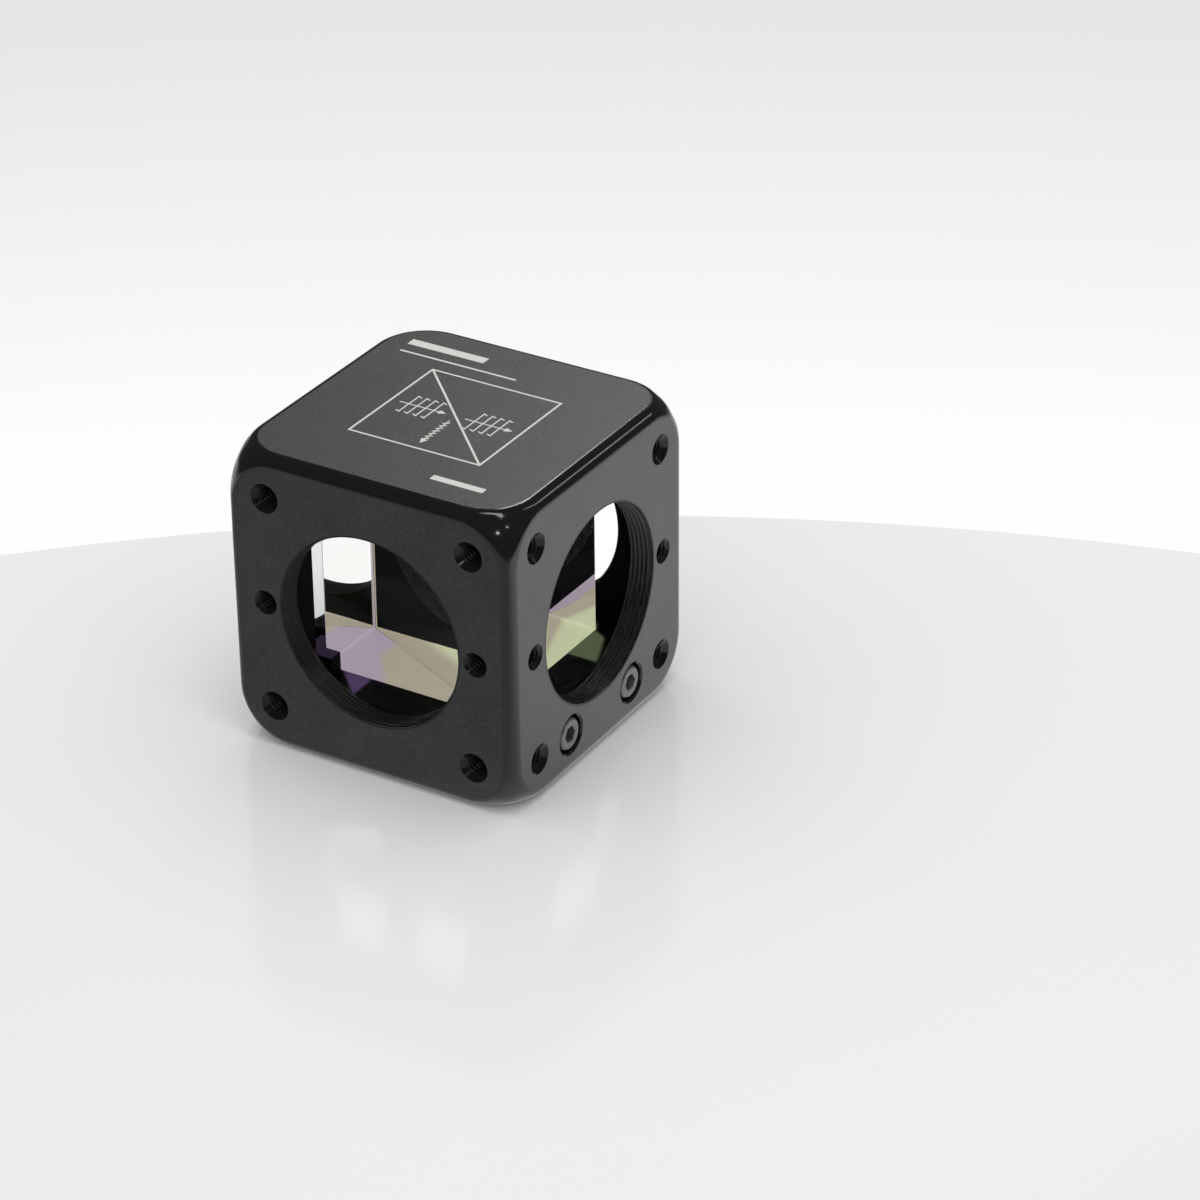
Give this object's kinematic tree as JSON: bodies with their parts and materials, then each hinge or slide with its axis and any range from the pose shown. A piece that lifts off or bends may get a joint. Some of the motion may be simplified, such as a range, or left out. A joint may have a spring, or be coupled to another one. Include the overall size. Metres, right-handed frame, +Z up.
{
  "type": "mounted polarizing beamsplitter cube",
  "caption": "Black anodised cage cube with threaded light ports and cage rod holes, holding a glass polarizing beamsplitter on a screwed-in platform.",
  "frame": {"origin": "centre of the cube, where the axes of the four ports cross", "axes": "+Z up through the marked top; -Y out of the front port and +X out of the right port, the two ports seen in the picture; the coated diagonal runs from the back left corner to the front right corner"},
  "size_m": [0.042, 0.042, 0.042],
  "materials": {
    "housing": "black anodised aluminium, satin flats and glossy edges",
    "platform": "black anodised aluminium, satin",
    "glass": "polished optical glass",
    "coating": "dielectric polarizing coating under clear cement",
    "adhesive": "cured adhesive",
    "screws": "black oxide steel"
  },
  "bodies": {
    "root": {"housing": "housing", "platform": "platform", "front_prism": "glass", "back_prism": "glass", "polarizing_layer": "coating", "adhesive_pads": "adhesive", "platform_screws": "screws"}
  },
  "joints": []
}
